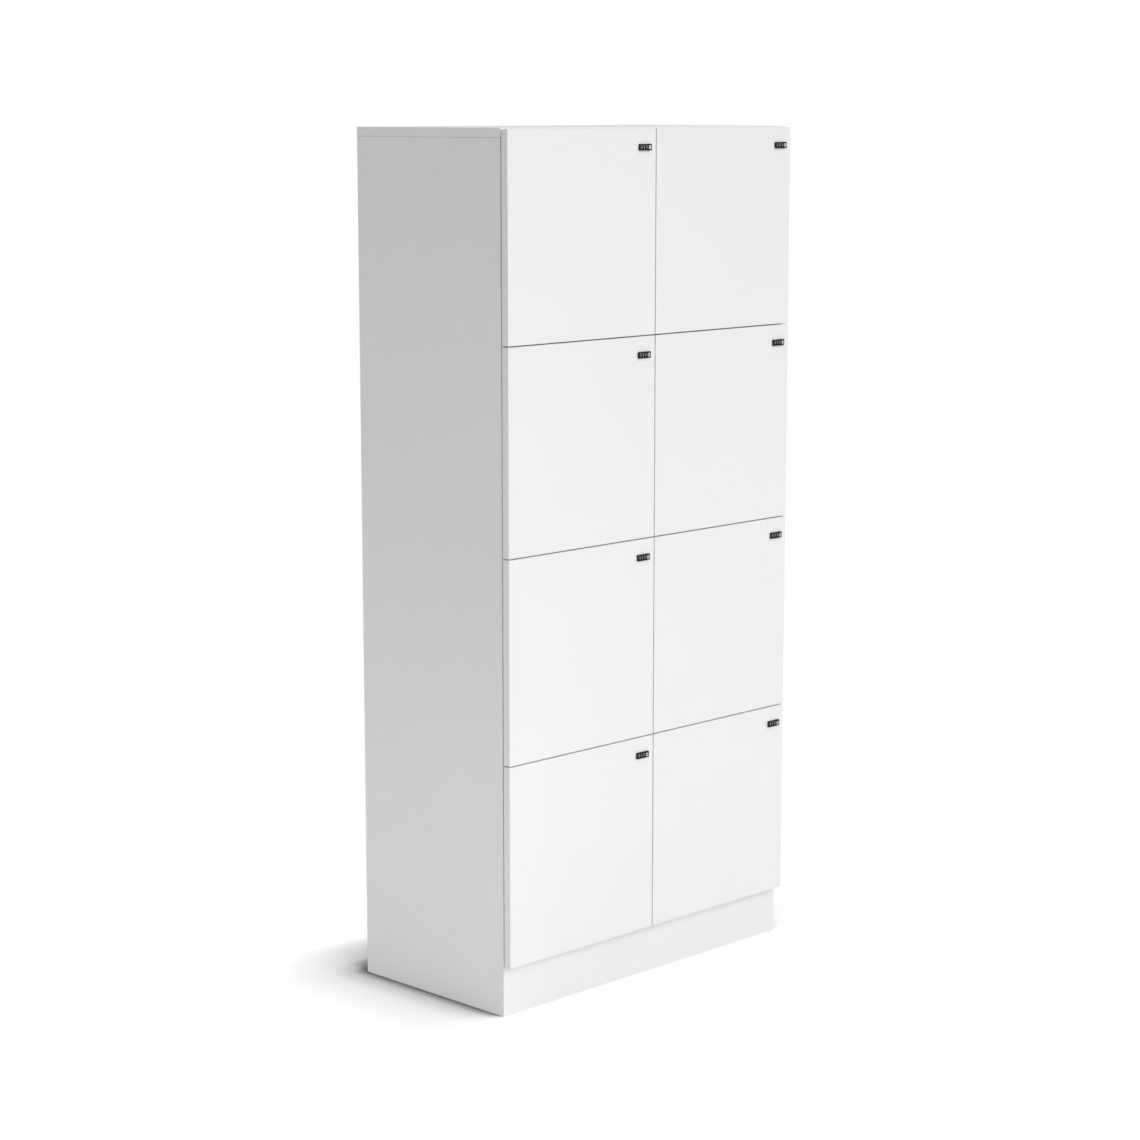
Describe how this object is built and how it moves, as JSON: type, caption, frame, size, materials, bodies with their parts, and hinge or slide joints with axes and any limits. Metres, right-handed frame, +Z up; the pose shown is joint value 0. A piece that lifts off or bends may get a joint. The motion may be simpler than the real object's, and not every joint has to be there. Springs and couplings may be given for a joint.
{
  "type": "parcel locker",
  "caption": "Free-standing locker of white laminated board with equal compartments behind flush overlay doors, each with a small dial combination lock.",
  "frame": {"origin": "on the floor, at the centre of the footprint of the whole outline, lock knobs included", "axes": "+X to the right seen from the front, +Y from the doors towards the back, +Z up"},
  "size_m": [0.8, 0.425, 1.7],
  "materials": {
    "white_board": "white melamine-faced board with a fine satin texture and matching edge bands",
    "back_board": "thin white-faced fibreboard, satin",
    "lock_black": "black satin lacquer on a zinc casting",
    "lock_dial": "black moulded wheel with pale printed digits",
    "lock_chrome": "bright plating with turning marks",
    "lock_print": "pale printed digits and index marks",
    "fitting_plastic": "white moulded plastic of cover caps",
    "hinge_steel": "nickel-plated pressed steel"
  },
  "bodies": {
    "carcass": {"side_panel_left": "white_board", "side_panel_right": "white_board", "centre_partition": "white_board", "top_panel": "white_board", "bottom_panel": "white_board", "shelf_1": "white_board", "shelf_2": "white_board", "shelf_3": "white_board", "back_panel": "back_board", "plinth_front": "white_board", "plinth_rear": "white_board"},
    "door_left_1": {"door_left_1": "white_board", "lock_case_left_1": "lock_black"},
    "lock_knob_left_1": {"lock_knob_left_1": "lock_chrome"},
    "lock_dial_left_1_1": {"lock_dial_left_1_1": "lock_dial"},
    "lock_dial_left_1_2": {"lock_dial_left_1_2": "lock_dial"},
    "lock_dial_left_1_3": {"lock_dial_left_1_3": "lock_dial"},
    "door_left_2": {"door_left_2": "white_board", "lock_case_left_2": "lock_black"},
    "lock_knob_left_2": {"lock_knob_left_2": "lock_chrome"},
    "lock_dial_left_2_1": {"lock_dial_left_2_1": "lock_dial"},
    "lock_dial_left_2_2": {"lock_dial_left_2_2": "lock_dial"},
    "lock_dial_left_2_3": {"lock_dial_left_2_3": "lock_dial"},
    "door_left_3": {"door_left_3": "white_board", "lock_case_left_3": "lock_black"},
    "lock_knob_left_3": {"lock_knob_left_3": "lock_chrome"},
    "lock_dial_left_3_1": {"lock_dial_left_3_1": "lock_dial"},
    "lock_dial_left_3_2": {"lock_dial_left_3_2": "lock_dial"},
    "lock_dial_left_3_3": {"lock_dial_left_3_3": "lock_dial"},
    "door_left_4": {"door_left_4": "white_board", "lock_case_left_4": "lock_black"},
    "lock_knob_left_4": {"lock_knob_left_4": "lock_chrome"},
    "lock_dial_left_4_1": {"lock_dial_left_4_1": "lock_dial"},
    "lock_dial_left_4_2": {"lock_dial_left_4_2": "lock_dial"},
    "lock_dial_left_4_3": {"lock_dial_left_4_3": "lock_dial"},
    "door_right_1": {"door_right_1": "white_board", "lock_case_right_1": "lock_black"},
    "lock_knob_right_1": {"lock_knob_right_1": "lock_chrome"},
    "lock_dial_right_1_1": {"lock_dial_right_1_1": "lock_dial"},
    "lock_dial_right_1_2": {"lock_dial_right_1_2": "lock_dial"},
    "lock_dial_right_1_3": {"lock_dial_right_1_3": "lock_dial"},
    "door_right_2": {"door_right_2": "white_board", "lock_case_right_2": "lock_black"},
    "lock_knob_right_2": {"lock_knob_right_2": "lock_chrome"},
    "lock_dial_right_2_1": {"lock_dial_right_2_1": "lock_dial"},
    "lock_dial_right_2_2": {"lock_dial_right_2_2": "lock_dial"},
    "lock_dial_right_2_3": {"lock_dial_right_2_3": "lock_dial"},
    "door_right_3": {"door_right_3": "white_board", "lock_case_right_3": "lock_black"},
    "lock_knob_right_3": {"lock_knob_right_3": "lock_chrome"},
    "lock_dial_right_3_1": {"lock_dial_right_3_1": "lock_dial"},
    "lock_dial_right_3_2": {"lock_dial_right_3_2": "lock_dial"},
    "lock_dial_right_3_3": {"lock_dial_right_3_3": "lock_dial"},
    "door_right_4": {"door_right_4": "white_board", "lock_case_right_4": "lock_black"},
    "lock_knob_right_4": {"lock_knob_right_4": "lock_chrome"},
    "lock_dial_right_4_1": {"lock_dial_right_4_1": "lock_dial"},
    "lock_dial_right_4_2": {"lock_dial_right_4_2": "lock_dial"},
    "lock_dial_right_4_3": {"lock_dial_right_4_3": "lock_dial"}
  },
  "joints": [
    {"name": "door_left_1_hinge", "type": "hinge", "parent": "carcass", "child": "door_left_1", "pos_m": [-0.3955, -0.20325, 0.29875], "axis": [0, 0, -1], "range_deg": [0, 110]},
    {"name": "door_left_2_hinge", "type": "hinge", "parent": "carcass", "child": "door_left_2", "pos_m": [-0.3955, -0.20325, 0.69875], "axis": [0, 0, -1], "range_deg": [0, 110]},
    {"name": "door_left_3_hinge", "type": "hinge", "parent": "carcass", "child": "door_left_3", "pos_m": [-0.3955, -0.20325, 1.09875], "axis": [0, 0, -1], "range_deg": [0, 110]},
    {"name": "door_left_4_hinge", "type": "hinge", "parent": "carcass", "child": "door_left_4", "pos_m": [-0.3955, -0.20325, 1.49875], "axis": [0, 0, -1], "range_deg": [0, 110]},
    {"name": "door_right_1_hinge", "type": "hinge", "parent": "carcass", "child": "door_right_1", "pos_m": [0.00525, -0.20325, 0.29875], "axis": [0, 0, -1], "range_deg": [0, 110]},
    {"name": "door_right_2_hinge", "type": "hinge", "parent": "carcass", "child": "door_right_2", "pos_m": [0.00525, -0.20325, 0.69875], "axis": [0, 0, -1], "range_deg": [0, 110]},
    {"name": "door_right_3_hinge", "type": "hinge", "parent": "carcass", "child": "door_right_3", "pos_m": [0.00525, -0.20325, 1.09875], "axis": [0, 0, -1], "range_deg": [0, 110]},
    {"name": "door_right_4_hinge", "type": "hinge", "parent": "carcass", "child": "door_right_4", "pos_m": [0.00525, -0.20325, 1.49875], "axis": [0, 0, -1], "range_deg": [0, 110]},
    {"name": "lock_knob_left_1_turn", "type": "hinge", "parent": "door_left_1", "child": "lock_knob_left_1", "pos_m": [-0.0236, -0.20625, 0.4615], "axis": [0, -1, 0], "range_deg": [0, 90]},
    {"name": "lock_knob_left_2_turn", "type": "hinge", "parent": "door_left_2", "child": "lock_knob_left_2", "pos_m": [-0.0236, -0.20625, 0.8615], "axis": [0, -1, 0], "range_deg": [0, 90]},
    {"name": "lock_knob_left_3_turn", "type": "hinge", "parent": "door_left_3", "child": "lock_knob_left_3", "pos_m": [-0.0236, -0.20625, 1.2615], "axis": [0, -1, 0], "range_deg": [0, 90]},
    {"name": "lock_knob_left_4_turn", "type": "hinge", "parent": "door_left_4", "child": "lock_knob_left_4", "pos_m": [-0.0236, -0.20625, 1.6615], "axis": [0, -1, 0], "range_deg": [0, 90]},
    {"name": "lock_knob_right_1_turn", "type": "hinge", "parent": "door_right_1", "child": "lock_knob_right_1", "pos_m": [0.37715, -0.20625, 0.4615], "axis": [0, -1, 0], "range_deg": [0, 90]},
    {"name": "lock_knob_right_2_turn", "type": "hinge", "parent": "door_right_2", "child": "lock_knob_right_2", "pos_m": [0.37715, -0.20625, 0.8615], "axis": [0, -1, 0], "range_deg": [0, 90]},
    {"name": "lock_knob_right_3_turn", "type": "hinge", "parent": "door_right_3", "child": "lock_knob_right_3", "pos_m": [0.37715, -0.20625, 1.2615], "axis": [0, -1, 0], "range_deg": [0, 90]},
    {"name": "lock_knob_right_4_turn", "type": "hinge", "parent": "door_right_4", "child": "lock_knob_right_4", "pos_m": [0.37715, -0.20625, 1.6615], "axis": [0, -1, 0], "range_deg": [0, 90]},
    {"name": "lock_dial_left_1_1_spin", "type": "hinge", "parent": "door_left_1", "child": "lock_dial_left_1_1", "pos_m": [-0.04475, -0.2062, 0.4615], "axis": [1, 0, 0], "continuous": true},
    {"name": "lock_dial_left_1_2_spin", "type": "hinge", "parent": "door_left_1", "child": "lock_dial_left_1_2", "pos_m": [-0.03755, -0.2062, 0.4615], "axis": [1, 0, 0], "continuous": true},
    {"name": "lock_dial_left_1_3_spin", "type": "hinge", "parent": "door_left_1", "child": "lock_dial_left_1_3", "pos_m": [-0.03035, -0.2062, 0.4615], "axis": [1, 0, 0], "continuous": true},
    {"name": "lock_dial_left_2_1_spin", "type": "hinge", "parent": "door_left_2", "child": "lock_dial_left_2_1", "pos_m": [-0.04475, -0.2062, 0.8615], "axis": [1, 0, 0], "continuous": true},
    {"name": "lock_dial_left_2_2_spin", "type": "hinge", "parent": "door_left_2", "child": "lock_dial_left_2_2", "pos_m": [-0.03755, -0.2062, 0.8615], "axis": [1, 0, 0], "continuous": true},
    {"name": "lock_dial_left_2_3_spin", "type": "hinge", "parent": "door_left_2", "child": "lock_dial_left_2_3", "pos_m": [-0.03035, -0.2062, 0.8615], "axis": [1, 0, 0], "continuous": true},
    {"name": "lock_dial_left_3_1_spin", "type": "hinge", "parent": "door_left_3", "child": "lock_dial_left_3_1", "pos_m": [-0.04475, -0.2062, 1.2615], "axis": [1, 0, 0], "continuous": true},
    {"name": "lock_dial_left_3_2_spin", "type": "hinge", "parent": "door_left_3", "child": "lock_dial_left_3_2", "pos_m": [-0.03755, -0.2062, 1.2615], "axis": [1, 0, 0], "continuous": true},
    {"name": "lock_dial_left_3_3_spin", "type": "hinge", "parent": "door_left_3", "child": "lock_dial_left_3_3", "pos_m": [-0.03035, -0.2062, 1.2615], "axis": [1, 0, 0], "continuous": true},
    {"name": "lock_dial_left_4_1_spin", "type": "hinge", "parent": "door_left_4", "child": "lock_dial_left_4_1", "pos_m": [-0.04475, -0.2062, 1.6615], "axis": [1, 0, 0], "continuous": true},
    {"name": "lock_dial_left_4_2_spin", "type": "hinge", "parent": "door_left_4", "child": "lock_dial_left_4_2", "pos_m": [-0.03755, -0.2062, 1.6615], "axis": [1, 0, 0], "continuous": true},
    {"name": "lock_dial_left_4_3_spin", "type": "hinge", "parent": "door_left_4", "child": "lock_dial_left_4_3", "pos_m": [-0.03035, -0.2062, 1.6615], "axis": [1, 0, 0], "continuous": true},
    {"name": "lock_dial_right_1_1_spin", "type": "hinge", "parent": "door_right_1", "child": "lock_dial_right_1_1", "pos_m": [0.356, -0.2062, 0.4615], "axis": [1, 0, 0], "continuous": true},
    {"name": "lock_dial_right_1_2_spin", "type": "hinge", "parent": "door_right_1", "child": "lock_dial_right_1_2", "pos_m": [0.3632, -0.2062, 0.4615], "axis": [1, 0, 0], "continuous": true},
    {"name": "lock_dial_right_1_3_spin", "type": "hinge", "parent": "door_right_1", "child": "lock_dial_right_1_3", "pos_m": [0.3704, -0.2062, 0.4615], "axis": [1, 0, 0], "continuous": true},
    {"name": "lock_dial_right_2_1_spin", "type": "hinge", "parent": "door_right_2", "child": "lock_dial_right_2_1", "pos_m": [0.356, -0.2062, 0.8615], "axis": [1, 0, 0], "continuous": true},
    {"name": "lock_dial_right_2_2_spin", "type": "hinge", "parent": "door_right_2", "child": "lock_dial_right_2_2", "pos_m": [0.3632, -0.2062, 0.8615], "axis": [1, 0, 0], "continuous": true},
    {"name": "lock_dial_right_2_3_spin", "type": "hinge", "parent": "door_right_2", "child": "lock_dial_right_2_3", "pos_m": [0.3704, -0.2062, 0.8615], "axis": [1, 0, 0], "continuous": true},
    {"name": "lock_dial_right_3_1_spin", "type": "hinge", "parent": "door_right_3", "child": "lock_dial_right_3_1", "pos_m": [0.356, -0.2062, 1.2615], "axis": [1, 0, 0], "continuous": true},
    {"name": "lock_dial_right_3_2_spin", "type": "hinge", "parent": "door_right_3", "child": "lock_dial_right_3_2", "pos_m": [0.3632, -0.2062, 1.2615], "axis": [1, 0, 0], "continuous": true},
    {"name": "lock_dial_right_3_3_spin", "type": "hinge", "parent": "door_right_3", "child": "lock_dial_right_3_3", "pos_m": [0.3704, -0.2062, 1.2615], "axis": [1, 0, 0], "continuous": true},
    {"name": "lock_dial_right_4_1_spin", "type": "hinge", "parent": "door_right_4", "child": "lock_dial_right_4_1", "pos_m": [0.356, -0.2062, 1.6615], "axis": [1, 0, 0], "continuous": true},
    {"name": "lock_dial_right_4_2_spin", "type": "hinge", "parent": "door_right_4", "child": "lock_dial_right_4_2", "pos_m": [0.3632, -0.2062, 1.6615], "axis": [1, 0, 0], "continuous": true},
    {"name": "lock_dial_right_4_3_spin", "type": "hinge", "parent": "door_right_4", "child": "lock_dial_right_4_3", "pos_m": [0.3704, -0.2062, 1.6615], "axis": [1, 0, 0], "continuous": true}
  ]
}
